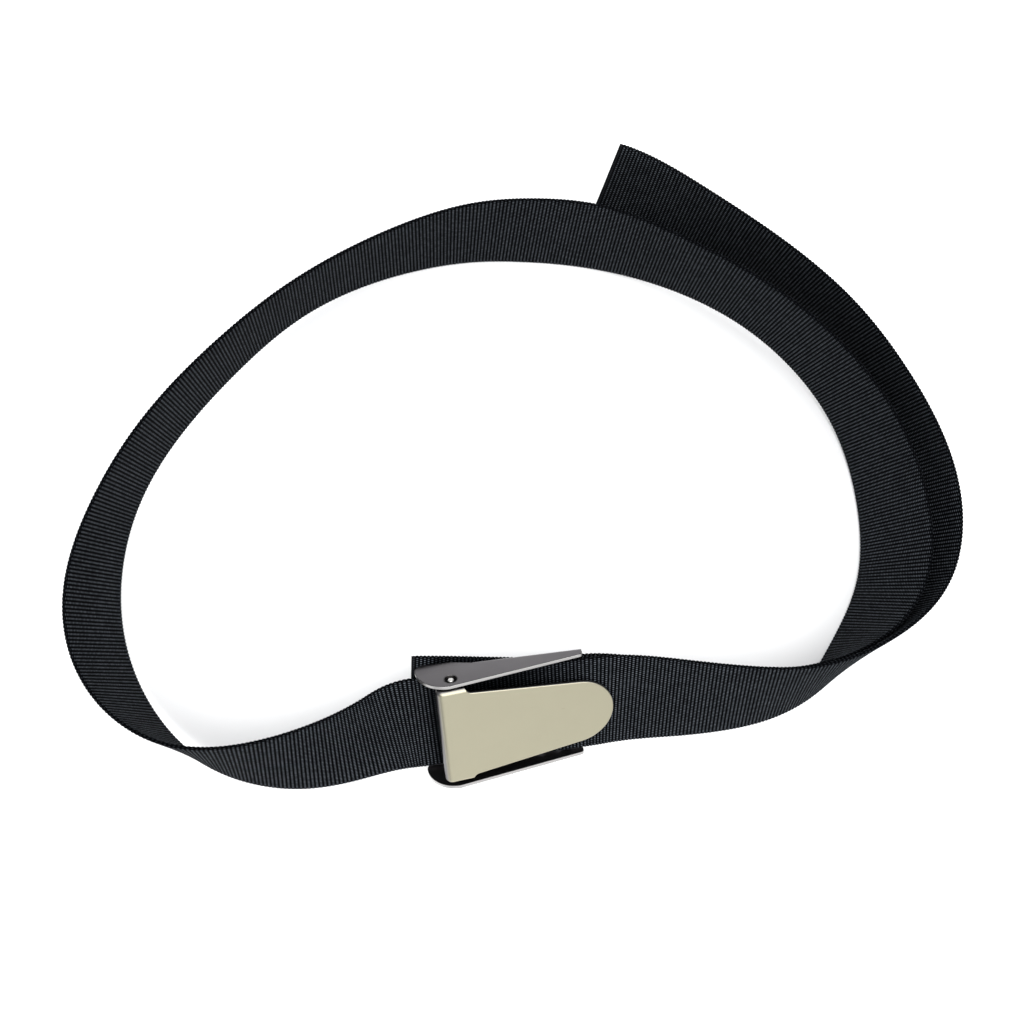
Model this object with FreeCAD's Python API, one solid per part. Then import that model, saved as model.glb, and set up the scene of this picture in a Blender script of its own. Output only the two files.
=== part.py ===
"""Dive weight belt: a webbing strap closed by a stainless cam buckle, lying on its edge.

World frame: +Z up, floor at Z = 0, +X along the buckle from its hinge end to its tongue tip,
origin under the middle of the belt. All sizes are in millimetres and degrees.
"""
import FreeCAD, Part
import math
import os

from FreeCAD import Matrix, Placement, Vector

os.makedirs("parts", exist_ok=True)

# ---------------------------------------------------------------- driving dimensions
STRAP_WIDTH = 50.0            # nylon webbing, nominal 2 inch
STRAP_THICKNESS = 1.8
STATION_STEP = 12.0           # distance between the cross sections that shape the strap
SEW_TOLERANCE = 0.001

FRAME_LENGTH = 73.0
FRAME_WIDTH = 57.0
SHEET = 1.5                   # stainless sheet of the buckle frame
PLATE_FRONT = -1.1            # front face of the base plate, below the middle of the strap
PLATE_BACK = PLATE_FRONT - SHEET
BEND_OUTER = 1.9              # outside radius where the flanges turn up
FLANGE_PEAK = 13.8            # highest point of a flange
FLANGE_PEAK_AT = 14.0
FLANGE_END = 2.3              # height of a flange at the tongue end
FLANGE_CORNER = 1.5           # rounded corner there
EAR_END = 25.0                # the flanges are flat ears, cut free of the plate, up to here
EAR_RISE = -1.2               # rear edge of an ear where it runs out into the bend
EAR_DEEP_AT = 15.0            # the rear edge slants down from there to its deepest part
EAR_BACK = -3.7               # deepest part of an ear's rear edge
EAR_NOSE = 4.2                # radius of an ear's rear corner
EAR_GAP = 0.9                 # relief slit between an ear and the plate
SLOT_STARTS = (47.5, 60.5)    # the two strap slots, either side of the middle bar
SLOT_WIDTH = 7.0
SLOT_LENGTH = 53.4
SLOT_CORNER = 0.8

PIN_AT = (14.9, 8.7)          # hinge axis, along the frame and above the strap
PIN_RADIUS = 2.0
PIN_CLEARANCE = 0.05          # running fit of the pin in the lever's ears
SINK_RADIUS = 2.9             # countersink in the flange round the peened pin end
SINK_DEPTH = 1.1
STUB_RADIUS = 1.35            # peened stub in the middle of the countersink
STUB_LENGTH = 0.9

LEVER_SHEET = 1.4
LEVER_WIDTH = 51.0            # across the shoulders, between the flanges
LEVER_SLOPE = 6.7             # the closed lever falls towards its tip
HEEL_TOP = 14.4               # height of the top face over the heel
HEEL_RADIUS = 3.5             # outside radius of the heel bend
LEVER_LENGTH = 79.0           # heel to tongue tip, along the top face
SHOULDER = 12.0               # full-width part, from the heel
SHOULDER_ROUND = 1.0          # rounded corner of a shoulder
NECK_TURN = 55.0              # slant of the shoulder's end
NECK_RADIUS = 3.0             # hollow between a shoulder and the tongue
NECK_HALF = 22.6              # half width of the tongue at its root
TIP_RADIUS = 16.8             # round tip of the tongue
RIM_ROUND = 0.5               # worn edge round the tongue
EAR_RADIUS = 3.9
EAR_BEND = 2.0                # outside radius where the heel and the top turn into an ear
JAW_RADIUS = 7.2              # outside of the jaw, concentric with the pin
JAW_END = 275.0               # the jaw curls under the pin to this angle
JAW_WIDTH = 47.0              # narrower than the rounded ends of the heel above it
TOOTH_PITCH = 2.0
TOOTH_DEPTH = 0.5

# Routes and the buckle are laid out about this point, which becomes the origin when a node is written
LAYOUT_CENTRE = Vector(-0.02, -3.93, 0.08)
BUCKLE_ORIGIN = Vector(-56.0, -111.0, 19.8)   # middle of the strap where it enters the buckle
BUCKLE_LEAN = 55.0            # the buckle lies back from upright by this angle

# Heights of the strap's middle over the base plate
WEAVE_BEHIND = -3.8           # behind the base plate
WEAVE_OVER = -0.05            # over the middle bar
TAIL_LIFT = 2.1               # where the tail clears the strap on the middle bar

# How far the strap's middle strays across the buckle: the short end and the weave lie askew
END_SLIDE = 7.5
WEAVE_SLIDE = 1.1
LOOP_SLIDE = -1.2
TAIL_SLIDE = 0.8

# Route of the strap's middle line: X, Y, Z and lean (top edge outward) at spline points.
LOOP_ROUTE = [
    (59, -116, 20, -44), (92, -120, 21, -35), (118, -117, 25, -26), (147, -100, 25, 3),
    (173, -71, 26, 13), (174, -21, 25, 7), (160, 19, 28, -1), (127, 59, 30, -4), (87, 86, 28, -2),
    (51, 104, 25, 8), (17, 109, 25, 7), (-12, 110, 26, 4), (-51, 102, 26, -3), (-88, 87, 27, -7),
    (-119, 64, 29, -5), (-153, 34, 29, -3), (-178, 0, 28, -2), (-193, -41, 26, 8),
    (-186, -82, 27, 6), (-156, -115, 35, -12), (-109, -122, 30, -37), (-76, -114, 21, -42),
]
TAIL_ROUTE = [
    (39, -111, 20, -52), (108, -123, 33, -30), (150, -105, 30, -10), (177, -83, 25, 5),
    (187, -55, 25, 14), (188, -23, 25, 12), (180, 15, 26, -2), (161, 54, 28, -9),
    (129, 84, 28, -4), (95, 107, 27, 6), (70, 122, 25, 20), (57, 127, 26, 18),
]
ENTRY_RUN = 9.0               # straight run before and after the buckle
SPLIT_AT = 0.5                # the loop is cut into two nodes on the far side

# ---------------------------------------------------------------- buckle frame of reference
lean = math.radians(BUCKLE_LEAN)
ALONG = Vector(1, 0, 0)
ACROSS = Vector(0, math.sin(lean), math.cos(lean))
OUTWARD = Vector(0, -math.cos(lean), math.sin(lean))


def at_buckle(along, across, out):
    """World point from distances along the buckle, across it and out of its face."""
    return BUCKLE_ORIGIN + ALONG * along + ACROSS * across + OUTWARD * out


def place(shape):
    """Move a shape that was built in buckle coordinates to its place in the world."""
    turn = Matrix(ALONG.x, ACROSS.x, OUTWARD.x, BUCKLE_ORIGIN.x,
                  ALONG.y, ACROSS.y, OUTWARD.y, BUCKLE_ORIGIN.y,
                  ALONG.z, ACROSS.z, OUTWARD.z, BUCKLE_ORIGIN.z,
                  0, 0, 0, 1)
    placed = shape.copy()
    placed.Placement = Placement(turn).multiply(placed.Placement)
    return placed


def export(shape, node):
    if not shape.isValid() or len(shape.Solids) != 1:
        raise RuntimeError(f"{node} is not one valid solid")
    shape.translated(-LAYOUT_CENTRE).exportStep(f"parts/{node}.step")
    print(f"{node}: {shape.Volume:.0f} mm3")


# ---------------------------------------------------------------- strap
def spline(poles):
    """Clamped uniform cubic spline on the given poles."""
    spans = len(poles) - 3
    curve = Part.BSplineCurve()
    curve.buildFromPolesMultsKnots(poles, [4] + [1] * (spans - 1) + [4], list(range(spans + 1)),
                                   False, 3)
    return curve


def width_direction(tangent, lean_deg):
    """Direction from the strap's bottom edge to its top edge."""
    side = tangent.cross(Vector(0, 0, 1)).normalize()
    up = side.cross(tangent)
    angle = math.radians(lean_deg)
    return up * math.cos(angle) + side * math.sin(angle)


def route_stations(route, first, last):
    """Sections (middle, width direction, face normal) at even steps along a part of a route."""
    middle = spline([Vector(x, y, z) for x, y, z, tilt in route])
    tilts = spline([Vector(tilt, 0, 0) for x, y, z, tilt in route])
    start = middle.LastParameter * first
    end = middle.LastParameter * last
    count = max(4, round(middle.length(start, end) / STATION_STEP))
    stations = []
    for i in range(count + 1):
        u = start + (end - start) * i / count
        tangent = middle.tangent(u)[0]
        across = width_direction(tangent, tilts.value(u).x)
        stations.append((middle.value(u), across, tangent.cross(across)))
    return stations


def flat_stations(points, first_slide, last_slide):
    """Sections of a strap through (along, out) points of the buckle, sliding evenly across it."""
    curve = Part.BSplineCurve()
    curve.interpolate([Vector(along, 0, out) for along, out in points])
    count = max(4, round(curve.length() / 2.0))
    start = points[0][0]
    reach = points[-1][0] - start
    stations = []
    for i in range(count + 1):
        u = curve.FirstParameter + (curve.LastParameter - curve.FirstParameter) * i / count
        point = curve.value(u)
        tangent = curve.tangent(u)[0]
        slide = first_slide + (last_slide - first_slide) * (point.x - start) / reach
        forward = ALONG * tangent.x + OUTWARD * tangent.z
        stations.append((at_buckle(point.x, slide, point.z), ACROSS, forward.cross(ACROSS)))
    return stations


def band(stations):
    """Solid of webbing through the stations: four ruled faces and two flat ends."""
    shares = [i / (len(stations) - 1) for i in range(len(stations))]
    rails = []
    for edge, face in ((-1, -1), (1, -1), (1, 1), (-1, 1)):
        points = [middle + across * (edge * STRAP_WIDTH / 2) + normal * (face * STRAP_THICKNESS / 2)
                  for middle, across, normal in stations]
        curve = Part.BSplineCurve()
        curve.interpolate(Points=points, Parameters=shares)
        rails.append(curve)
    faces = []
    for rail, other in zip(rails, rails[1:] + rails[:1]):
        side = Part.BSplineSurface()
        side.buildFromPolesMultsKnots([rail.getPoles(), other.getPoles()], [2, 2],
                                      rail.getMultiplicities(), [0, 1], rail.getKnots(),
                                      False, False, 1, 3)
        faces.append(side.toShape())
    for share in (0, 1):
        corners = [rail.value(share) for rail in rails]
        faces.append(Part.Face(Part.makePolygon(corners + corners[:1])))
    shell = Part.makeShell(faces)
    shell.sewShape(SEW_TOLERANCE)
    solid = Part.makeSolid(shell)
    if solid.Volume < 0:
        solid.reverse()
    return solid


def buckle_pole(along, across, out):
    point = at_buckle(along, across, out)
    return (point.x, point.y, point.z, -BUCKLE_LEAN)


def make_strap():
    loop_start = FRAME_LENGTH + 0.3
    tail_start = FRAME_LENGTH + 2.0
    loop = [buckle_pole(loop_start + run, LOOP_SLIDE, WEAVE_BEHIND) for run in (0, ENTRY_RUN)]
    loop += LOOP_ROUTE + [buckle_pole(-1 - run, 0, 0) for run in (ENTRY_RUN, 0)]
    tail = [buckle_pole(tail_start + run, TAIL_SLIDE, TAIL_LIFT) for run in (0, ENTRY_RUN)] + TAIL_ROUTE

    weave_start = SLOT_STARTS[0] - 1.5
    short_end = [(-3.8, WEAVE_BEHIND - 2.4), (8, WEAVE_BEHIND - 2.1), (20, WEAVE_BEHIND - 1.7),
                 (33, WEAVE_BEHIND - 0.6), (weave_start, WEAVE_BEHIND)]
    bar_middle = (SLOT_STARTS[0] + SLOT_WIDTH + SLOT_STARTS[1]) / 2
    half = []
    for step in range(9):
        share = step / 8
        rise = (1 - math.cos(math.pi * share)) / 2
        half.append((weave_start + (bar_middle - 2.0 - weave_start) * share,
                     WEAVE_BEHIND + (WEAVE_OVER - WEAVE_BEHIND) * rise))
    weave = half + [(2 * bar_middle - along, out) for along, out in reversed(half)]
    weave += [(loop_start - 2.0, WEAVE_BEHIND), (loop_start, WEAVE_BEHIND)]
    through = [(-1, 0), (8, 0), (16, 0.03), (26, 0.4), (36, 1.1), (46, 1.75), (56, 2.05), (66, TAIL_LIFT),
               (tail_start, TAIL_LIFT)]

    export(band(flat_stations(short_end, END_SLIDE, WEAVE_SLIDE)), "strap_fixed_end")
    export(band(flat_stations(weave, WEAVE_SLIDE, LOOP_SLIDE)), "strap_on_middle_bar")
    export(band(route_stations(loop, 0, SPLIT_AT)), "strap_loop_right")
    export(band(route_stations(loop, SPLIT_AT, 1)), "strap_loop_left")
    export(band(flat_stations(through, 0, TAIL_SLIDE)), "strap_in_buckle")
    export(band(route_stations(tail, 0, 1)), "strap_tail")


# ---------------------------------------------------------------- shared sheet metal shapes
def line(start, end):
    return Part.LineSegment(start, end).toShape()


def arc(start, middle, end):
    return Part.Arc(start, middle, end).toShape()


def joined_face(edges):
    return Part.Face(Part.Wire(Part.__sortEdges__(edges)))


def across_cylinder(radius, centre, start, length):
    """Cylinder about an axis across the buckle."""
    return Part.makeCylinder(radius, length, Vector(centre[0], start, centre[1]), Vector(0, 1, 0))


# ---------------------------------------------------------------- buckle frame
def make_channel():
    """The bent sheet before its outline is cut: a U section drawn out along the buckle."""
    half = FRAME_WIDTH / 2
    top = FLANGE_PEAK + 2
    outer = Part.makeBox(FRAME_LENGTH, FRAME_WIDTH, top - PLATE_BACK, Vector(0, -half, PLATE_BACK))
    inner = Part.makeBox(FRAME_LENGTH, FRAME_WIDTH - 2 * SHEET, top - PLATE_FRONT + 1,
                         Vector(0, -half + SHEET, PLATE_FRONT))

    def low_edges(shape, side, height):
        return [edge for edge in shape.Edges if abs(edge.tangentAt(0).x) > 0.9
                and all(abs(abs(v.Y) - side) < 1e-6 and abs(v.Z - height) < 1e-6 for v in edge.Vertexes)]

    outer = outer.makeFillet(BEND_OUTER, low_edges(outer, half, PLATE_BACK))
    inner = inner.makeFillet(BEND_OUTER - SHEET, low_edges(inner, half - SHEET, PLATE_FRONT))
    return outer.cut(inner)


def make_side_block(rear, nose):
    """Block across the whole frame with the flanges' outline, from its end back along the rear edge."""
    end, back = rear[0][0], rear[-1][1]
    slope = (FLANGE_END - FLANGE_PEAK) / (FRAME_LENGTH - FLANGE_PEAK_AT)
    end_height = FLANGE_PEAK + slope * (end - FLANGE_PEAK_AT)
    rise = back + nose
    inset = nose * (1 - math.sin(math.pi / 4))
    heel = arc(Vector(0, 0, rise), Vector(4.1, 0, 9.7), Vector(FLANGE_PEAK_AT, 0, FLANGE_PEAK))
    corner = arc(Vector(nose, 0, back), Vector(inset, 0, back + inset), Vector(0, 0, rise))
    points = [Vector(FLANGE_PEAK_AT, 0, FLANGE_PEAK), Vector(end, 0, end_height)]
    points += [Vector(along, 0, out) for along, out in rear] + [Vector(nose, 0, back)]
    outline = joined_face([heel, corner] + [line(a, b) for a, b in zip(points[:-1], points[1:])])
    return outline.extrude(Vector(0, FRAME_WIDTH, 0)).translated(Vector(0, -FRAME_WIDTH / 2, 0))


def make_slot(start):
    slot = Part.makeBox(SLOT_WIDTH, SLOT_LENGTH, 3 * SHEET,
                        Vector(start, -SLOT_LENGTH / 2, PLATE_BACK - SHEET))
    return slot.makeFillet(SLOT_CORNER, [e for e in slot.Edges if abs(e.tangentAt(0).z) > 0.9])


def make_frame():
    """Plate with two slots between two flanges whose hinge end is a pair of deeper, flat ears."""
    half = FRAME_WIDTH / 2
    outline = make_side_block([(FRAME_LENGTH, PLATE_BACK)], 1.5)
    corners = [e for e in outline.Edges if all(v.X > FRAME_LENGTH - 1e-6 and v.Z > 0 for v in e.Vertexes)]
    frame = make_channel().common(outline.makeFillet(FLANGE_CORNER, corners))
    ears = make_side_block([(EAR_END, EAR_RISE), (EAR_DEEP_AT, EAR_BACK)], EAR_NOSE)
    for start in SLOT_STARTS:
        frame = frame.cut(make_slot(start))
    for side in (-1, 1):
        sheet = Part.makeBox(EAR_END, SHEET, 30, Vector(0, min(side * half, side * (half - SHEET)), -10))
        slit_width = SHEET + EAR_GAP
        slit = Part.makeBox(EAR_END + 1, slit_width, 12,
                            Vector(-1, min(side * half, side * (half - slit_width)), PLATE_BACK - 1))
        frame = frame.cut(slit).fuse(ears.common(sheet))
    frame = frame.removeSplitter()
    frame = frame.cut(across_cylinder(PIN_RADIUS, PIN_AT, -half - 1, FRAME_WIDTH + 2))
    for side in (-1, 1):
        sink = Part.makeCone(PIN_RADIUS, SINK_RADIUS, SINK_DEPTH,
                             Vector(PIN_AT[0], side * (half - SINK_DEPTH), PIN_AT[1]), Vector(0, side, 0))
        frame = frame.cut(sink)
    return frame


# ---------------------------------------------------------------- hinge pin
def make_pin():
    """Plain pin with a domed stub standing in each countersink."""
    half = FRAME_WIDTH / 2
    pin = across_cylinder(PIN_RADIUS, PIN_AT, -half + SINK_DEPTH, FRAME_WIDTH - 2 * SINK_DEPTH)
    for side in (-1, 1):
        base = Vector(PIN_AT[0], side * (half - SINK_DEPTH), PIN_AT[1])
        stub = Part.makeCylinder(STUB_RADIUS, STUB_LENGTH, base, Vector(0, side, 0))
        end = half - SINK_DEPTH + STUB_LENGTH
        rim = [e for e in stub.Edges if all(abs(abs(v.Y) - end) < 1e-6 for v in e.Vertexes)
               and e.Curve.TypeId == "Part::GeomCircle"]
        pin = pin.fuse(stub.makeFillet(0.6, rim))
    return pin.removeSplitter()


# ---------------------------------------------------------------- cam lever
def direction(angle):
    """Unit vector in the side view, from the along axis towards the out axis."""
    return Vector(math.cos(math.radians(angle)), 0, math.sin(math.radians(angle)))


HEEL_CORNER = Vector(PIN_AT[0] - JAW_RADIUS, 0, HEEL_TOP)
PIN_CENTRE = Vector(PIN_AT[0], 0, PIN_AT[1])


def slope_down(shape):
    """Tilt a shape built on a level top face and hang it on the heel corner."""
    tilted = shape.rotated(Vector(0, 0, 0), Vector(0, 1, 0), LEVER_SLOPE)
    return tilted.translated(HEEL_CORNER)


def heel_bend(radius, reach, lowest):
    """Ends and edges of the heel bend in the side view, from the top face down to a height."""
    slope = math.radians(LEVER_SLOPE)
    drop = HEEL_RADIUS * (1 + math.sin(slope)) / math.cos(slope)
    centre = HEEL_CORNER + Vector(HEEL_RADIUS, 0, -drop)
    top = centre + direction(90 - LEVER_SLOPE) * radius
    middle = centre + direction((270 - LEVER_SLOPE) / 2) * radius
    side = centre - Vector(radius, 0, 0)
    first = top + direction(-LEVER_SLOPE) * reach
    last = Vector(side.x, 0, lowest)
    return first, last, [line(first, top), arc(top, middle, side), line(side, last)]


def make_rounded_body():
    """Solid block inside the lever's outer faces, its ends rounded over into the ears."""
    first, last, edges = heel_bend(HEEL_RADIUS, LEVER_LENGTH, -5.0)
    corner = Vector(first.x, 0, last.z)
    outline = joined_face(edges + [line(first, corner), line(corner, last)])
    block = outline.extrude(Vector(0, LEVER_WIDTH, 0)).translated(Vector(0, -LEVER_WIDTH / 2, 0))

    def on_skin(edge):
        one, other = edge.Vertexes[0], edge.Vertexes[-1]
        across = one.Y * other.Y < 0
        at_far_end = min(one.X, other.X) > first.x - 1e-6
        at_bottom = max(one.Z, other.Z) < last.z + 1e-6
        return not (across or at_far_end or at_bottom)

    return block.makeFillet(EAR_BEND, [edge for edge in block.Edges if on_skin(edge)])


def make_heel():
    """The bent end seen from the side: heel bend, wall and the jaw that curls under the pin."""

    def skin(bend, jaw):
        """Ends and edges of one face of the sheet, from its bend radius and jaw radius."""
        first, last, edges = heel_bend(bend, 1.0, PIN_CENTRE.z)
        jaw_middle = PIN_CENTRE + direction((180 + JAW_END) / 2) * jaw
        jaw_end = PIN_CENTRE + direction(JAW_END) * jaw
        return first, jaw_end, edges + [arc(last, jaw_middle, jaw_end)]

    first, last, outer = skin(HEEL_RADIUS, JAW_RADIUS)
    first_in, last_in, inner = skin(HEEL_RADIUS - LEVER_SHEET, JAW_RADIUS - LEVER_SHEET)
    outline = joined_face(outer + inner + [line(first, first_in), line(last, last_in)])
    heel = outline.extrude(Vector(0, LEVER_WIDTH, 0)).translated(Vector(0, -LEVER_WIDTH / 2, 0))
    for start in (JAW_WIDTH / 2, -LEVER_WIDTH / 2 - 1):
        heel = heel.cut(Part.makeBox(20, (LEVER_WIDTH - JAW_WIDTH) / 2 + 1, 20,
                                     Vector(0, start, PIN_CENTRE.z - 20)))
    lowest = PIN_AT[1] - JAW_RADIUS
    groove = Part.Face(Part.makePolygon([
        Vector(PIN_AT[0] - 4, -TOOTH_DEPTH, lowest - 0.1), Vector(PIN_AT[0] - 4, TOOTH_DEPTH, lowest - 0.1),
        Vector(PIN_AT[0] - 4, 0, lowest + TOOTH_DEPTH), Vector(PIN_AT[0] - 4, -TOOTH_DEPTH, lowest - 0.1)]))
    groove = groove.extrude(Vector(8, 0, 0))
    count = int(JAW_WIDTH / TOOTH_PITCH) - 1
    grooves = [groove.translated(Vector(0, (i - (count - 1) / 2) * TOOTH_PITCH, 0)) for i in range(count)]
    return heel.cut(Part.Compound(grooves))


def make_tongue():
    """Flat top of the lever in plan: shoulders with slanted ends, tapering tongue, round tip."""
    half = LEVER_WIDTH / 2
    turn = math.radians(NECK_TURN)
    radii = SHOULDER_ROUND + NECK_RADIUS
    slant = (half - NECK_HALF - radii * (1 - math.cos(turn))) / math.sin(turn)
    root = Vector(SHOULDER + radii * math.sin(turn) + slant * math.cos(turn), NECK_HALF, 0)

    tip_centre = LEVER_LENGTH - TIP_RADIUS
    reach = Vector(tip_centre, 0, 0) - root
    swing = math.asin(TIP_RADIUS / reach.Length) + math.atan2(reach.y, reach.x)
    touch = Vector(tip_centre - TIP_RADIUS * math.sin(swing), TIP_RADIUS * math.cos(swing), 0)
    start = HEEL_RADIUS * 1.1

    def on_shoulder(angle):
        return (Vector(SHOULDER, half - SHOULDER_ROUND, 0)
                + Vector(math.sin(angle), math.cos(angle), 0) * SHOULDER_ROUND)

    def on_neck(angle):
        return root + Vector(-math.sin(angle), 1 - math.cos(angle), 0) * NECK_RADIUS

    def mirrored(point):
        return Vector(point.x, -point.y, point.z)

    edges = [arc(touch, Vector(LEVER_LENGTH, 0, 0), mirrored(touch)),
             line(Vector(start, half, 0), Vector(start, -half, 0))]
    for flip in (Vector, mirrored):
        edges.append(line(flip(Vector(start, half, 0)), flip(on_shoulder(0))))
        edges.append(arc(flip(on_shoulder(0)), flip(on_shoulder(turn / 2)), flip(on_shoulder(turn))))
        edges.append(line(flip(on_shoulder(turn)), flip(on_neck(turn))))
        edges.append(arc(flip(on_neck(turn)), flip(on_neck(turn / 2)), flip(root)))
        edges.append(line(flip(root), flip(touch)))
    tongue = joined_face(edges).extrude(Vector(0, 0, -LEVER_SHEET))

    def on_rim(edge):
        return all(abs(v.Z) < 1e-6 and v.X > SHOULDER + 0.1 for v in edge.Vertexes)

    return tongue.makeFillet(RIM_ROUND, [edge for edge in tongue.Edges if on_rim(edge)])


def make_shoulders():
    """Sheet behind the heel that turns down into an ear on both sides."""
    inner_half = LEVER_WIDTH / 2 - LEVER_SHEET
    outer = Part.makeBox(SHOULDER, LEVER_WIDTH, 16, Vector(0, -LEVER_WIDTH / 2, -16))
    inner = Part.makeBox(SHOULDER + 2, 2 * inner_half, 16, Vector(-1, -inner_half, -16 - LEVER_SHEET))
    bends = [e for e in inner.Edges if abs(e.tangentAt(0).x) > 0.9 and e.Vertexes[0].Z > -LEVER_SHEET - 1]
    inner = inner.makeFillet(EAR_BEND - LEVER_SHEET, bends)
    front = Part.makeBox(HEEL_RADIUS * 1.1, 2 * inner_half, 3, Vector(0, -inner_half, -3))
    return outer.cut(inner).cut(front)


def make_ear_outline():
    """Block that trims the channel to the ears' outline seen from the side."""
    left = HEEL_CORNER.x
    right = PIN_CENTRE + direction(-30) * EAR_RADIUS
    high = HEEL_TOP + 2
    points = [(left, PIN_AT[1]), (left, high), (HEEL_CORNER.x + SHOULDER + 1, high),
              (HEEL_CORNER.x + SHOULDER - 1.2, HEEL_TOP - 4), (right.x, right.z), (PIN_AT[0], PIN_AT[1])]
    corners = [Vector(along, -LEVER_WIDTH / 2, out) for along, out in points]
    block = Part.Face(Part.makePolygon(corners + corners[:1])).extrude(Vector(0, LEVER_WIDTH, 0))
    return block.fuse(across_cylinder(EAR_RADIUS, PIN_AT, -LEVER_WIDTH / 2, LEVER_WIDTH))


def make_lever():
    shoulders = slope_down(make_shoulders()).common(make_ear_outline())
    sheet = make_heel().fuse([slope_down(make_tongue()), shoulders])
    lever = sheet.common(make_rounded_body())
    bore = across_cylinder(PIN_RADIUS + PIN_CLEARANCE, PIN_AT, -LEVER_WIDTH / 2 - 1, LEVER_WIDTH + 2)
    return lever.cut(bore)


make_strap()
export(place(make_frame()), "buckle_frame")
export(place(make_pin()), "hinge_pin")
export(place(make_lever()), "cam_lever")
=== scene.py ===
"""Looks of the dive weight belt: ribbed webbing, satin stainless buckle, floor, light and camera."""

import math

import bpy
import numpy as np
from mathutils import Matrix, Vector


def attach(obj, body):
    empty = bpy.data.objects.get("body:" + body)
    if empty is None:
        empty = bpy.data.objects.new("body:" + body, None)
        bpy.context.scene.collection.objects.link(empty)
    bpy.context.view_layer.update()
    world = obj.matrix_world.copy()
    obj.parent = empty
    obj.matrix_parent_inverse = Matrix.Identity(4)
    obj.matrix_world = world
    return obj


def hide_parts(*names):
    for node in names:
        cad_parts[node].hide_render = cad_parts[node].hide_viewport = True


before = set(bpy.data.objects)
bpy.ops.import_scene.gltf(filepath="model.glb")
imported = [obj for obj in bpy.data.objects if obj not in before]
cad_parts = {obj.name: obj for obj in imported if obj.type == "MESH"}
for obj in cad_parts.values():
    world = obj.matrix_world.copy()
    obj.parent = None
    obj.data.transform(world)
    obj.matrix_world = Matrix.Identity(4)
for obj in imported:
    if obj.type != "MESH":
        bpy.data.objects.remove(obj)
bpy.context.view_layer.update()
MM = 0.001

# ---------------------------------------------------------------- route and buckle, as in the CAD
LAYOUT_CENTRE = np.array([-0.02, -3.93, 0.08])
BUCKLE_ORIGIN = np.array([-56.0, -111.0, 19.8])
BUCKLE_LEAN = 55.0
lean = math.radians(BUCKLE_LEAN)
ALONG = np.array([1.0, 0.0, 0.0])
ACROSS = np.array([0.0, math.sin(lean), math.cos(lean)])
OUTWARD = np.array([0.0, -math.cos(lean), math.sin(lean)])

# Places along the buckle, from its hinge end
SHORT_END = -3.8             # the strap's fixed cut end, behind the base plate
WEAVE_START = 46.0           # where it starts to rise through the first slot
BAR_MIDDLE = 57.5
BAR_LEVEL = 2.0              # half of the level stretch over the middle bar
LOOP_START = 73.3            # where it leaves the buckle behind the plate
LOOP_END = -1.0              # where it comes back in at the hinge end
TAIL_START = 75.0            # where it leaves the buckle in front of the plate
LIFT_START = 14.0            # it rises over the weave from here
LIFT_RUN = 46.0
ENTRY_RUN = 9.0              # straight run before and after the buckle

# Heights of the strap's middle over where it enters the buckle
WEAVE_BEHIND = -3.8          # behind the base plate
WEAVE_OVER = -0.05           # over the middle bar
TAIL_LIFT = 2.1              # where the tail lies on the strap over the middle bar
END_DROP = 2.4               # the fixed end lies this much deeper

# How far the strap's middle strays across the buckle
END_SLIDE = 7.5
WEAVE_SLIDE = 1.1
LOOP_SLIDE = -1.2
TAIL_SLIDE = 0.8

PLATE_FRONT = -1.1           # front face of the base plate
PIN_AT = (14.9, 8.7)         # hinge axis, along the buckle and out of it
LEVER_SLOPE = 6.7            # the closed lever falls towards its tip

# Route of the strap's middle line: X, Y, Z and lean (top edge outward) at spline points
LOOP_ROUTE = [
    (59, -116, 20, -44), (92, -120, 21, -35), (118, -117, 25, -26), (147, -100, 25, 3),
    (173, -71, 26, 13), (174, -21, 25, 7), (160, 19, 28, -1), (127, 59, 30, -4), (87, 86, 28, -2),
    (51, 104, 25, 8), (17, 109, 25, 7), (-12, 110, 26, 4), (-51, 102, 26, -3), (-88, 87, 27, -7),
    (-119, 64, 29, -5), (-153, 34, 29, -3), (-178, 0, 28, -2), (-193, -41, 26, 8),
    (-186, -82, 27, 6), (-156, -115, 35, -12), (-109, -122, 30, -37), (-76, -114, 21, -42),
]
TAIL_ROUTE = [
    (39, -111, 20, -52), (108, -123, 33, -30), (150, -105, 30, -10), (177, -83, 25, 5),
    (187, -55, 25, 14), (188, -23, 25, 12), (180, 15, 26, -2), (161, 54, 28, -9),
    (129, 84, 28, -4), (95, 107, 27, 6), (70, 122, 25, 20), (57, 127, 26, 18),
]

# ---------------------------------------------------------------- webbing
STRAP_WIDTH = 50.0
STRAP_THICKNESS = 1.8
RIB_PITCH = 1.65             # distance between ribs along the strap
RIB_DEPTH = 0.26             # valley between two ribs, on each face
YARN_PITCH = 1.1             # width of one warp yarn
EDGE_STEP = 0.3              # how far the selvedge stands out at a rib
RIB_FULLNESS = 0.8           # power of the ribs' sine wave, less than one for broad ribs
SEALED = 0.56                # length of melted webbing at a cut end
SEALED_FADE = 1.4            # length over which it turns into ribs
SEALED_HEIGHT = 0.35         # height of the melted end, as a share of a rib
STEPS_PER_RIB = 4
FACE_POINTS = 9              # points across each face of the section
FACE_INSET = 0.9             # where the face ends and the selvedge starts, in from the edge

# Points round one selvedge: in from the edge, share of half the thickness, share of the notch
SELVEDGE = [(0.35, 0.86, 0.6), (0.0, 0.45, 1.0), (0.0, -0.45, 1.0), (0.35, -0.86, 0.6)]

# Painted shade on the webbing inside the buckle: places along it, how deep, and the share of the
# crests' colour it takes away
BUCKLE_SHADE_FADES = [3.0, 7.0, 45.0, 78.0]
BUCKLE_SHADE_DEPTH = 8.0
BUCKLE_SHADE_SHARE = 0.75
SELVEDGE_DARK_SHARE = 0.85        # the same share on the selvedges, which are made darker


def at_buckle(along, across, out):
    """Layout point from distances along the buckle, across it and out of its face."""
    return BUCKLE_ORIGIN + ALONG * along + ACROSS * across + OUTWARD * out


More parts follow.
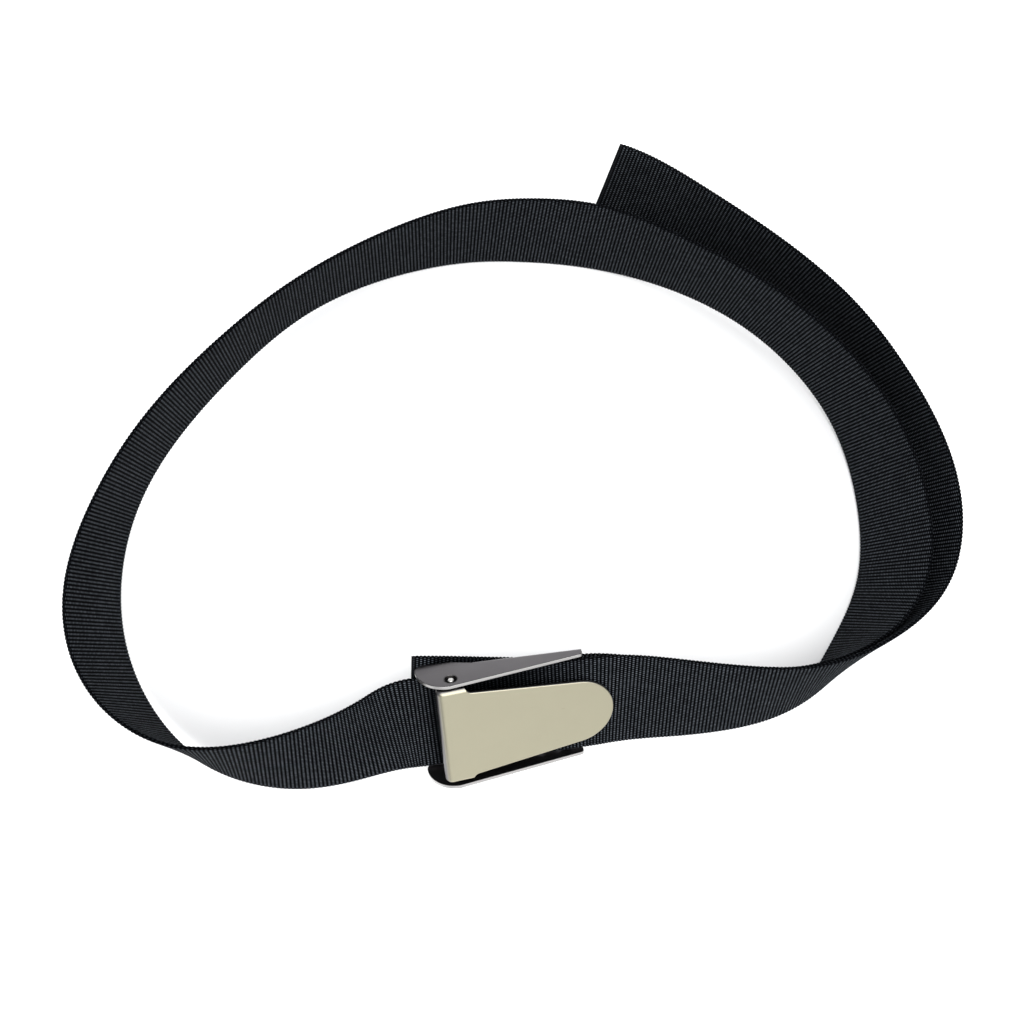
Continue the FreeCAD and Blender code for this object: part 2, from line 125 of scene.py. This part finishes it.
def clamped_spline(rows, count):
    """Points on the clamped uniform cubic spline over the given rows."""
    rows = np.asarray(rows, float)
    spans = len(rows) - 3
    knots = np.concatenate([np.zeros(3), np.arange(spans + 1), np.full(3, spans)])
    u = np.linspace(0, spans, count)
    u[-1] -= 1e-9
    basis = ((u[:, None] >= knots[:-1]) & (u[:, None] < knots[1:])).astype(float)
    for degree in (1, 2, 3):
        kept = len(knots) - 1 - degree
        rise = knots[degree:degree + kept] - knots[:kept]
        fall = knots[degree + 1:degree + 1 + kept] - knots[1:1 + kept]
        with np.errstate(divide="ignore", invalid="ignore"):
            left = np.where(rise > 0, (u[:, None] - knots[:kept]) / rise, 0)
            right = np.where(fall > 0, (knots[degree + 1:degree + 1 + kept] - u[:, None]) / fall, 0)
        basis = left * basis[:, :kept] + right * basis[:, 1:kept + 1]
    return basis @ rows


def smooth_step(value):
    """Rise from zero to one that is level at both ends."""
    share = np.clip(value, 0, 1)
    return (1 - np.cos(math.pi * share)) / 2


def unit(vectors):
    return vectors / np.linalg.norm(vectors, axis=1, keepdims=True)


def along_route(rows, count):
    """Middle points and width directions of the strap along one route."""
    values = clamped_spline(rows, count)
    middle = values[:, :3]
    tangent = unit(np.gradient(middle, axis=0))
    side = unit(np.cross(tangent, [0, 0, 1]))
    up = np.cross(side, tangent)
    angle = np.radians(values[:, 3:])
    return middle, up * np.cos(angle) + side * np.sin(angle)


def through_buckle(along, first_slide, last_slide, out):
    """Middle points and width directions of the strap where it runs along the buckle."""
    slide = np.interp(along, [along[0], along[-1]], [first_slide, last_slide])
    middle = BUCKLE_ORIGIN + along[:, None] * ALONG + slide[:, None] * ACROSS + out[:, None] * OUTWARD
    return middle, np.tile(ACROSS, (len(along), 1))


def buckle_pole(along, across, out):
    """Route row at the buckle, leaning back with it."""
    return (*at_buckle(along, across, out), -BUCKLE_LEAN)


def strap_path():
    """The whole strap from its fixed cut end to its free cut end, densely sampled."""
    short = np.linspace(SHORT_END, WEAVE_START, 180)[:-1]
    away = (WEAVE_START - short) / (WEAVE_START - SHORT_END)
    drop = END_DROP * np.sin(away * math.pi / 2) ** 1.4
    pieces = [through_buckle(short, END_SLIDE, WEAVE_SLIDE, WEAVE_BEHIND - drop)]

    bar = np.linspace(WEAVE_START, LOOP_START, 160)[:-1]
    climb = BAR_MIDDLE - BAR_LEVEL - WEAVE_START
    weave_end = 2 * BAR_MIDDLE - WEAVE_START
    rise = smooth_step((bar - WEAVE_START) / climb) * smooth_step((weave_end - bar) / climb)
    over = WEAVE_BEHIND + (WEAVE_OVER - WEAVE_BEHIND) * rise
    pieces.append(through_buckle(bar, WEAVE_SLIDE, LOOP_SLIDE, over))

    loop = [buckle_pole(LOOP_START + run, LOOP_SLIDE, WEAVE_BEHIND) for run in (0, ENTRY_RUN)]
    loop += LOOP_ROUTE + [buckle_pole(LOOP_END - run, 0, 0) for run in (ENTRY_RUN, 0)]
    pieces.append(along_route(loop, 5000))

    inside = np.linspace(LOOP_END, TAIL_START, 300)[1:-1]
    lift = TAIL_LIFT * smooth_step((inside - LIFT_START) / LIFT_RUN)
    pieces.append(through_buckle(inside, 0, TAIL_SLIDE, lift))

    tail = [buckle_pole(TAIL_START + run, TAIL_SLIDE, TAIL_LIFT) for run in (0, ENTRY_RUN)]
    pieces.append(along_route(tail + TAIL_ROUTE, 2500))

    middle = np.concatenate([piece[0] for piece in pieces])
    width = np.concatenate([piece[1] for piece in pieces])
    return middle - LAYOUT_CENTRE, width


def resampled(points, lengths, at):
    return np.stack([np.interp(at, lengths, points[:, axis]) for axis in range(3)], axis=1)


def strap_sections():
    """Even steps: middle, width direction, face normal, distance in ribs and in millimetres."""
    middle, width = strap_path()
    steps = np.linalg.norm(np.diff(middle, axis=0), axis=1)
    lengths = np.concatenate([[0], np.cumsum(steps)])
    ribs = round(lengths[-1] / RIB_PITCH)
    in_ribs = np.arange(ribs * STEPS_PER_RIB + 1) / STEPS_PER_RIB
    at = in_ribs * lengths[-1] / ribs

    centre = resampled(middle, lengths, at)
    tangent = unit(np.gradient(centre, axis=0))
    across = resampled(width, lengths, at)
    across = unit(across - np.sum(across * tangent, axis=1, keepdims=True) * tangent)
    return centre, across, np.cross(tangent, across), in_ribs, at


def section_outline():
    """Points round the section: place across, share of half the thickness, share of the notch."""
    half = STRAP_WIDTH / 2
    face = np.linspace(FACE_INSET - half, half - FACE_INSET, FACE_POINTS)
    outline = [(place, 1.0, 0.0) for place in face]
    outline += [(half - inset, height, notch) for inset, height, notch in SELVEDGE]
    return np.array(outline + [(-place, -height, notch) for place, height, notch in outline])


def tube_mesh(name, points):
    """Closed mesh through rings of points, with a flat cap on each end."""
    count, around = points.shape[:2]
    number = np.arange(count * around).reshape(count, around)
    here, ahead = number[:-1], number[1:]
    quads = np.stack([ahead, np.roll(ahead, -1, axis=1), np.roll(here, -1, axis=1), here], axis=-1)
    caps = [number[0].tolist(), number[-1][::-1].tolist()]
    mesh = bpy.data.meshes.new(name)
    mesh.from_pydata(points.reshape(-1, 3).tolist(), [], quads.reshape(-1, 4).tolist() + caps)
    mesh.shade_smooth()
    return mesh


def add_weave_map(mesh, in_ribs, outline):
    """UV map that counts ribs along the strap and yarns round its section."""
    flat = outline[:, :2] * [1, STRAP_THICKNESS / 2]
    hops = np.linalg.norm(np.roll(flat, -1, axis=0) - flat, axis=1)
    girth = np.concatenate([[0], np.cumsum(hops)]) / YARN_PITCH
    ribs = np.stack([in_ribs[1:], in_ribs[1:], in_ribs[:-1], in_ribs[:-1]], axis=-1)
    yarns = np.stack([girth[:-1], girth[1:], girth[1:], girth[:-1]], axis=-1)
    shape = (len(in_ribs) - 1, len(outline), 4)
    ribs = np.broadcast_to(ribs[:, None, :], shape)
    yarns = np.broadcast_to(yarns[None, :, :], shape)
    weave = np.stack([ribs, yarns], axis=-1).reshape(-1, 2)
    caps = np.zeros((2 * len(outline), 2))
    layer = mesh.uv_layers.new(name="weave")
    layer.data.foreach_set("uv", np.concatenate([weave, caps]).ravel())


def mark(mesh, name, values):
    attribute = mesh.attributes.new(name, "FLOAT", "POINT")
    attribute.data.foreach_set("value", values.ravel())


def shade_and_dark_edge_share(centre, notch):
    """Painted shade on the yarn between the buckle's flanges, and darker selvedges, as a share."""
    from_buckle = centre + LAYOUT_CENTRE - BUCKLE_ORIGIN
    in_buckle_shade = np.interp(from_buckle @ ALONG, BUCKLE_SHADE_FADES, [0, 1, 1, 0])
    in_buckle_shade *= np.abs(from_buckle @ OUTWARD) < BUCKLE_SHADE_DEPTH
    return np.maximum(BUCKLE_SHADE_SHARE * in_buckle_shade[:, None], SELVEDGE_DARK_SHARE * notch)


def make_strap():
    """One length of webbing: ribs across both faces, notched selvedges, flat melted ends."""
    centre, across, normal, in_ribs, at = strap_sections()
    from_end = np.minimum(at, at[-1] - at)
    woven = np.clip((from_end - SEALED) / SEALED_FADE, 0, 1)
    crest = np.abs(np.sin(math.pi * in_ribs)) ** RIB_FULLNESS
    crest = crest * woven + SEALED_HEIGHT * (1 - woven)

    outline = section_outline()
    place, height, notch = outline.T
    sideways = place - np.sign(place) * notch * EDGE_STEP * (1 - crest[:, None])
    outward = height * (STRAP_THICKNESS / 2 - RIB_DEPTH * (1 - crest[:, None]))
    points = centre[:, None] + across[:, None] * sideways[:, :, None]
    points = points + normal[:, None] * outward[:, :, None]

    mesh = tube_mesh("webbing_strap", points * MM)
    add_weave_map(mesh, in_ribs, outline)
    mark(mesh, "sealed", np.repeat(1 - woven, len(outline)))
    # painted shade inside the buckle and darker selvedges
    mark(mesh, "buckle_shade_and_dark_edge", shade_and_dark_edge_share(centre, notch))
    mesh.materials.append(webbing_material())
    strap = bpy.data.objects.new("webbing_strap", mesh)
    bpy.context.collection.objects.link(strap)
    return strap, at[-1] * MM


# ---------------------------------------------------------------- materials
def toned(colour, share):
    """The same colour, lighter or darker."""
    return tuple(share * channel for channel in colour[:3]) + (1,)


class Nodes:
    """Short way to build a node tree: every call makes a node and returns its output."""

    def __init__(self, name):
        self.material = bpy.data.materials.new(name)
        self.material.use_nodes = True
        self.tree = self.material.node_tree
        self.shader = self.tree.nodes["Principled BSDF"]

    def node(self, kind, inputs=(), **settings):
        made = self.tree.nodes.new(kind)
        for key, value in settings.items():
            setattr(made, key, value)
        for key, value in dict(inputs).items():
            self.feed(made.inputs[key], value)
        return made

    def feed(self, socket, value):
        if isinstance(value, bpy.types.NodeSocket):
            self.tree.links.new(value, socket)
        else:
            socket.default_value = value

    def math(self, operation, first, second=0.0, third=0.0):
        made = self.node("ShaderNodeMath", {0: first, 1: second, 2: third}, operation=operation)
        return made.outputs[0]

    def mix_colour(self, share, low, high):
        made = self.node("ShaderNodeMix", data_type="RGBA")
        self.feed(made.inputs["Factor"], share)
        self.feed(made.inputs[6], low)
        self.feed(made.inputs[7], high)
        return made.outputs[2]

    def ranged(self, value, low, high, to_low=0.0, to_high=1.0):
        made = self.node("ShaderNodeMapRange", {"Value": value, "From Min": low, "From Max": high,
                                                "To Min": to_low, "To Max": to_high})
        return made.outputs["Result"]

    def noise(self, vector, scale, detail=3.0, rough=0.5):
        made = self.node("ShaderNodeTexNoise",
                         {"Vector": vector, "Scale": scale, "Detail": detail, "Roughness": rough})
        return made.outputs["Fac"]

    def combined(self, x, y):
        return self.node("ShaderNodeCombineXYZ", {"X": x, "Y": y}).outputs[0]

    def vector(self, operation, first, second=(0, 0, 0)):
        made = self.node("ShaderNodeVectorMath", {0: first, 1: second}, operation=operation)
        return made.outputs["Value" if operation in ("DOT_PRODUCT", "LENGTH") else "Vector"]

    def rounded(self, radius):
        """Normal that turns smoothly over the sheet's corners, within a radius in millimetres."""
        return self.node("ShaderNodeBevel", {"Radius": radius * MM}, samples=6).outputs[0]

    def corner(self, radius):
        """One at the sheet's sharp corners, fading to zero at a distance in millimetres."""
        flat = self.node("ShaderNodeNewGeometry").outputs["Normal"]
        return self.ranged(self.vector("DOT_PRODUCT", self.rounded(radius), flat), 0.995, 0.93)

    def within(self, from_pin, radius):
        """One nearer to the hinge axis than a radius in millimetres."""
        distance = self.vector("LENGTH", self.vector("CROSS_PRODUCT", from_pin, tuple(ACROSS)))
        return self.ranged(distance, (radius + 0.1) * MM, (radius - 0.1) * MM)

    def set(self, **values):
        """Feed the shader's own sockets, named with underscores."""
        for key, value in values.items():
            self.feed(self.shader.inputs[key.replace("_", " ")], value)


def webbing_material():
    """Black nylon: yarn over each rib, painted highlight on the crests, painted shade in the valleys
    and inside the buckle, darker selvedges, melted ends.
    """
    n = Nodes("ribbed_webbing")
    uv = n.node("ShaderNodeUVMap", uv_map="weave").outputs[0]
    split = n.node("ShaderNodeSeparateXYZ", {0: uv})
    rib, yarn = split.outputs[0], split.outputs[1]

    rib_number = n.math("FLOOR", rib)
    odd = n.math("MODULO", rib_number, 2.0)
    shifted = n.math("MULTIPLY_ADD", odd, 0.5, yarn)
    yarn_number = n.math("FLOOR", shifted)

    def crests(distance, sharpness):
        """One in the middle of every whole step, zero between two steps."""
        wave = n.math("ABSOLUTE", n.math("SINE", n.math("MULTIPLY", distance, math.pi)))
        return n.math("POWER", wave, sharpness)

    yarn_height = n.math("MULTIPLY_ADD", crests(shifted, 3.0), 0.95, 0.05)
    weave_height = n.math("MULTIPLY", crests(rib, 2.5), yarn_height)

    def streaks(along, around, detail):
        """Noise in the weave, from its frequency along the strap and round it."""
        place = n.combined(n.math("MULTIPLY", rib, along), n.math("MULTIPLY", yarn, around))
        return n.noise(place, 1.0, detail)

    strands = streaks(0.9, 9.0, 2.0)
    stains = streaks(0.02, 0.05, 3.0)
    yarn_shade = n.node("ShaderNodeTexWhiteNoise", {"Vector": n.combined(rib_number, yarn_number)},
                        noise_dimensions="2D").outputs["Value"]
    lit = weave_height
    for variation, spread in ((strands, 0.5), (yarn_shade, 0.5), (stains, 0.3)):
        lit = n.math("MULTIPLY", lit, n.math("MULTIPLY_ADD", variation, spread, 1 - spread / 2))
    # Painted shade inside the buckle and the darker selvedges take away from the crests' colour.
    buckle_shade_and_dark_edge = n.node("ShaderNodeAttribute", attribute_name="buckle_shade_and_dark_edge").outputs["Fac"]
    share = n.math("MULTIPLY", n.ranged(lit, 0.1, 1.0), n.math("SUBTRACT", 1.0, buckle_shade_and_dark_edge))
    # The light crests are a painted highlight and the near black valleys painted shade, both
    # following the weave's height.
    colour = n.mix_colour(share, (0.0004, 0.0005, 0.0008, 1), (0.090, 0.101, 0.115, 1))

    melted = n.node("ShaderNodeAttribute", attribute_name="sealed").outputs["Fac"]
    colour = n.mix_colour(melted, colour, (0.006, 0.006, 0.007, 1))
    rough = n.ranged(lit, 0.2, 1.0, 0.8, 0.6)
    rough = n.math("MULTIPLY_ADD", melted, -0.3, rough)

    relief = n.math("MULTIPLY_ADD", strands, 0.18, weave_height)
    relief = n.math("MULTIPLY", relief, n.math("SUBTRACT", 1.0, melted))
    bump = n.node("ShaderNodeBump", {"Height": relief, "Strength": 0.8, "Distance": 0.3 * MM})
    n.set(Base_Color=colour, Roughness=rough, Normal=bump.outputs[0])
    n.shader.inputs["Specular IOR Level"].default_value = 0.01
    return n.material


def steel_material(name, colour, painted_edge_colour, face, roughness, grain, corner_shade_share=0.0, pin_recess_shade=None):
    """Satin stainless: grain, handling marks, and another tone off the broad face: a painted
    highlight on the frame's cut edges, painted shade on the lever's rims and bends.

    face is the direction of the broad face, the share after it darkens its corners with painted
    shade, and the last argument is the inner and outer radius of a ring of painted shade round the
    hinge pin.
    """
    n = Nodes(name)
    coordinates = n.node("ShaderNodeTexCoord")
    place = coordinates.outputs["Object"]
    pin = (at_buckle(PIN_AT[0], 0, PIN_AT[1]) - LAYOUT_CENTRE) * MM
    from_pin = n.vector("SUBTRACT", place, tuple(pin))

    brushed = n.node("ShaderNodeMapping", {"Vector": place, "Scale": grain}).outputs[0]
    brushed = n.noise(brushed, 900.0, 3.0, 0.6)
    cloud = n.noise(place, 30.0, 4.0, 0.55)
    turned = n.node("ShaderNodeMapping", {"Vector": place, "Rotation": (0.3, 0.2, 0.9),
                                          "Scale": (1.0, 26.0, 26.0)}).outputs[0]
    scratch = n.ranged(n.noise(turned, 42.0, 2.0, 0.4), 0.74, 0.78)
    shade = n.mix_colour(n.ranged(cloud, 0.3, 0.7, 0.0, 0.45), colour, toned(colour, 0.88))
    shade = n.mix_colour(n.math("MULTIPLY", scratch, 0.4), shade, toned(colour, 0.55))

    turn = n.math("ABSOLUTE", n.vector("DOT_PRODUCT", coordinates.outputs["Normal"], tuple(face)))
    broad = n.ranged(turn, 0.6, 0.95)
    plate = PLATE_FRONT - PIN_AT[1]
    height = n.vector("DOT_PRODUCT", from_pin, tuple(OUTWARD))
    above_plate = n.ranged(height, (plate + 0.2) * MM, (plate + 0.5) * MM)
    # Off the broad face the colour is painted: the frame's lighter cut edges are a painted highlight,
    # the lever's darker rims and bends painted shade.
    side = n.math("MULTIPLY", n.math("SUBTRACT", 1.0, broad), above_plate)
    shade = n.mix_colour(side, shade, painted_edge_colour)
    if corner_shade_share:
        # Painted shade: a dark line along the sheet's corners, wide on the broad faces and thin on
        # the cut faces.
        line = n.math("MULTIPLY_ADD", n.corner(0.8), broad, n.math("MULTIPLY", n.corner(0.25), side))
        shade = n.mix_colour(n.math("MULTIPLY", line, corner_shade_share), shade, toned(colour, 0.15))
    if pin_recess_shade:
        # Painted shade in the countersunk recess round the pin's end: near black between two
        # distances from the hinge axis, along the pin's shaft too.
        ring = n.math("SUBTRACT", n.within(from_pin, pin_recess_shade[1]), n.within(from_pin, pin_recess_shade[0]))
        shade = n.mix_colour(ring, shade, (0.012, 0.011, 0.011, 1))

    rough = n.ranged(cloud, 0.3, 0.7, roughness - 0.03, roughness + 0.03)
    rough = n.math("MULTIPLY_ADD", brushed, 0.08, rough)
    relief = n.math("MULTIPLY_ADD", scratch, -0.6, brushed)
    bump = n.node("ShaderNodeBump", {"Height": relief, "Strength": 0.12, "Distance": 0.04 * MM,
                                     "Normal": n.rounded(0.45)})
    n.set(Base_Color=shade, Roughness=rough, Normal=bump.outputs[0], Metallic=1.0)
    return n.material


def finish_node(name, material):
    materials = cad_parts[name].data.materials
    materials.clear()
    materials.append(material)


def finish_steel():
    """Their own steel for the CAD's frame, lever and pin."""
    slope = math.radians(LEVER_SLOPE)
    lever_face = ALONG * math.sin(slope) + OUTWARD * math.cos(slope)
    # Frame: painted highlight on its cut edges, painted shade along its corners and round the pin.
    # Lever: painted shade on its rims and bends.
    finish_node("buckle_frame", steel_material(
        "satin_frame_steel", (0.121, 0.115, 0.120, 1), (0.44, 0.43, 0.42, 1), ACROSS, 0.30,
        (0.08, 1.0, 1.0), corner_shade_share=0.9, pin_recess_shade=(0.0, 2.85)))
    finish_node("cam_lever", steel_material(
        "satin_lever_steel", (0.418, 0.392, 0.288, 1), (0.15, 0.145, 0.145, 1), lever_face, 0.30,
        (1.0, 0.08, 0.08)))
    finish_node("hinge_pin", steel_material(
        "pin_steel", (0.66, 0.65, 0.63, 1), (0.6, 0.59, 0.57, 1), ACROSS, 0.32,
        (1.0, 1.0, 1.0), pin_recess_shade=(1.3, 2.6)))


# ---------------------------------------------------------------- stage
FLOOR_HALF = 3.0
CAMERA_PLACE = (-0.04479, -0.07954, 0.42653)
CAMERA_RIGHT = (0.9893, -0.1222, 0.0802)      # directions of the picture's right and up
CAMERA_UP = (0.115, 0.9893, 0.0894)


def make_floor():
    corners = [(x * FLOOR_HALF, y * FLOOR_HALF, 0) for x, y in ((-1, -1), (1, -1), (1, 1), (-1, 1))]
    mesh = bpy.data.meshes.new("floor")
    mesh.from_pydata(corners, [], [(0, 1, 2, 3)])
    floor = bpy.data.objects.new("floor", mesh)
    bpy.context.collection.objects.link(floor)
    n = Nodes("pale_floor")
    place = n.node("ShaderNodeTexCoord").outputs["Object"]
    tone = n.ranged(n.noise(place, 3.0), 0.3, 0.7)
    n.set(Base_Color=n.mix_colour(tone, (0.86, 0.86, 0.86, 1), (0.89, 0.89, 0.89, 1)), Roughness=0.8)
    mesh.materials.append(n.material)


def make_light(name, place, aim, size, power):
    """Soft round light that faces a point."""
    data = bpy.data.lights.new(name, "AREA")
    data.shape = "DISK"
    data.size = size
    data.energy = power
    light = bpy.data.objects.new(name, data)
    bpy.context.collection.objects.link(light)
    light.location = place
    light.rotation_euler = (Vector(aim) - Vector(place)).to_track_quat("-Z", "Y").to_euler()


def make_lights():
    world = bpy.data.worlds.new("studio")
    world.use_nodes = True
    background = world.node_tree.nodes["Background"]
    background.inputs["Color"].default_value = (0.95, 0.97, 1.0, 1)
    background.inputs["Strength"].default_value = 0.6
    bpy.context.scene.world = world
    make_light("top", (0.1, -0.1, 1.6), (0, -0.02, 0), 3.0, 74)
    make_light("front", (0.05, -1.35, 0.48), (0, -0.12, 0.03), 1.6, 4)


def make_camera():
    data = bpy.data.cameras.new("camera")
    data.lens = 31.63
    data.sensor_width = 36.0
    data.shift_y = 0.0639
    camera = bpy.data.objects.new("camera", data)
    bpy.context.collection.objects.link(camera)
    right, up = Vector(CAMERA_RIGHT), Vector(CAMERA_UP)
    turn = Matrix((right, up, right.cross(up))).transposed()
    camera.matrix_world = Matrix.Translation(CAMERA_PLACE) @ turn.to_4x4()
    bpy.context.scene.camera = camera


strap, strap_length = make_strap()
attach(strap, "belt")
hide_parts("strap_fixed_end", "strap_on_middle_bar", "strap_loop_right", "strap_loop_left",
            "strap_in_buckle", "strap_tail")

finish_steel()
make_floor()
make_lights()
make_camera()
bpy.context.scene.view_settings.view_transform = "Standard"
